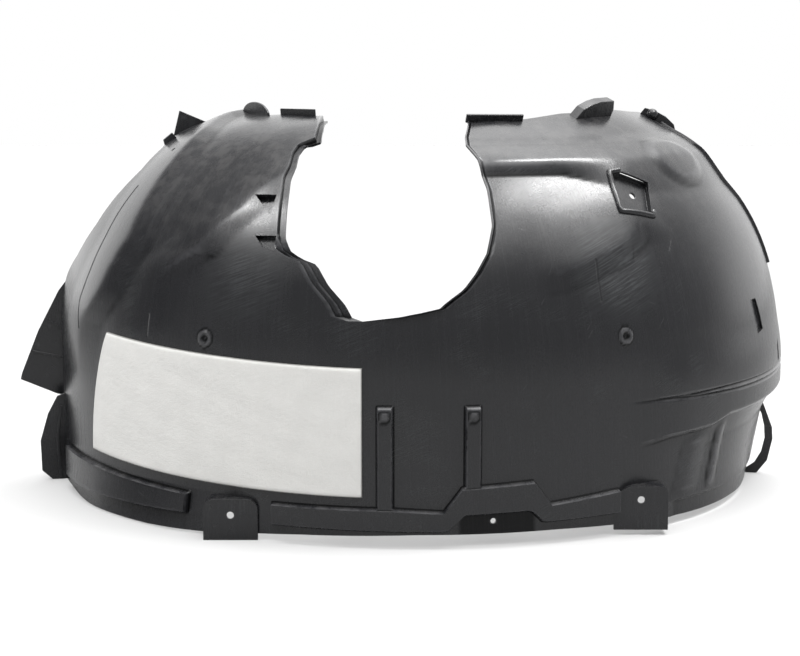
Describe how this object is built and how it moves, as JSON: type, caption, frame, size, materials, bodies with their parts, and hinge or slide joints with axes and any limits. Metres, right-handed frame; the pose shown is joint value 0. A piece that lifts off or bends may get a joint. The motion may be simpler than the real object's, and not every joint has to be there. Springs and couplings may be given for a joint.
{
  "type": "wheel arch liner",
  "caption": "Moulded plastic wheel arch liner, lying on its lip edge: domed horseshoe shell with an open strut cut-out, lip channel, ribs, clip tabs and a felt pad.",
  "frame": {"origin": "the wheel's axis where it meets the plane that the lip edge stands on", "axes": "+X along the car, to the right seen from the body side; +Y from the crown of the arch towards the open side; +Z along the wheel's axis, inboard. In the car +Z points inboard and -Y points up."},
  "size_m": [0.9622, 0.4194, 0.4779],
  "materials": {
    "moulded_plastic": "satin, fine grain, scuffed",
    "felt": "pressed needle felt"
  },
  "bodies": {
    "root": {"liner_shell": "moulded_plastic", "felt_pad": "felt"}
  },
  "joints": []
}
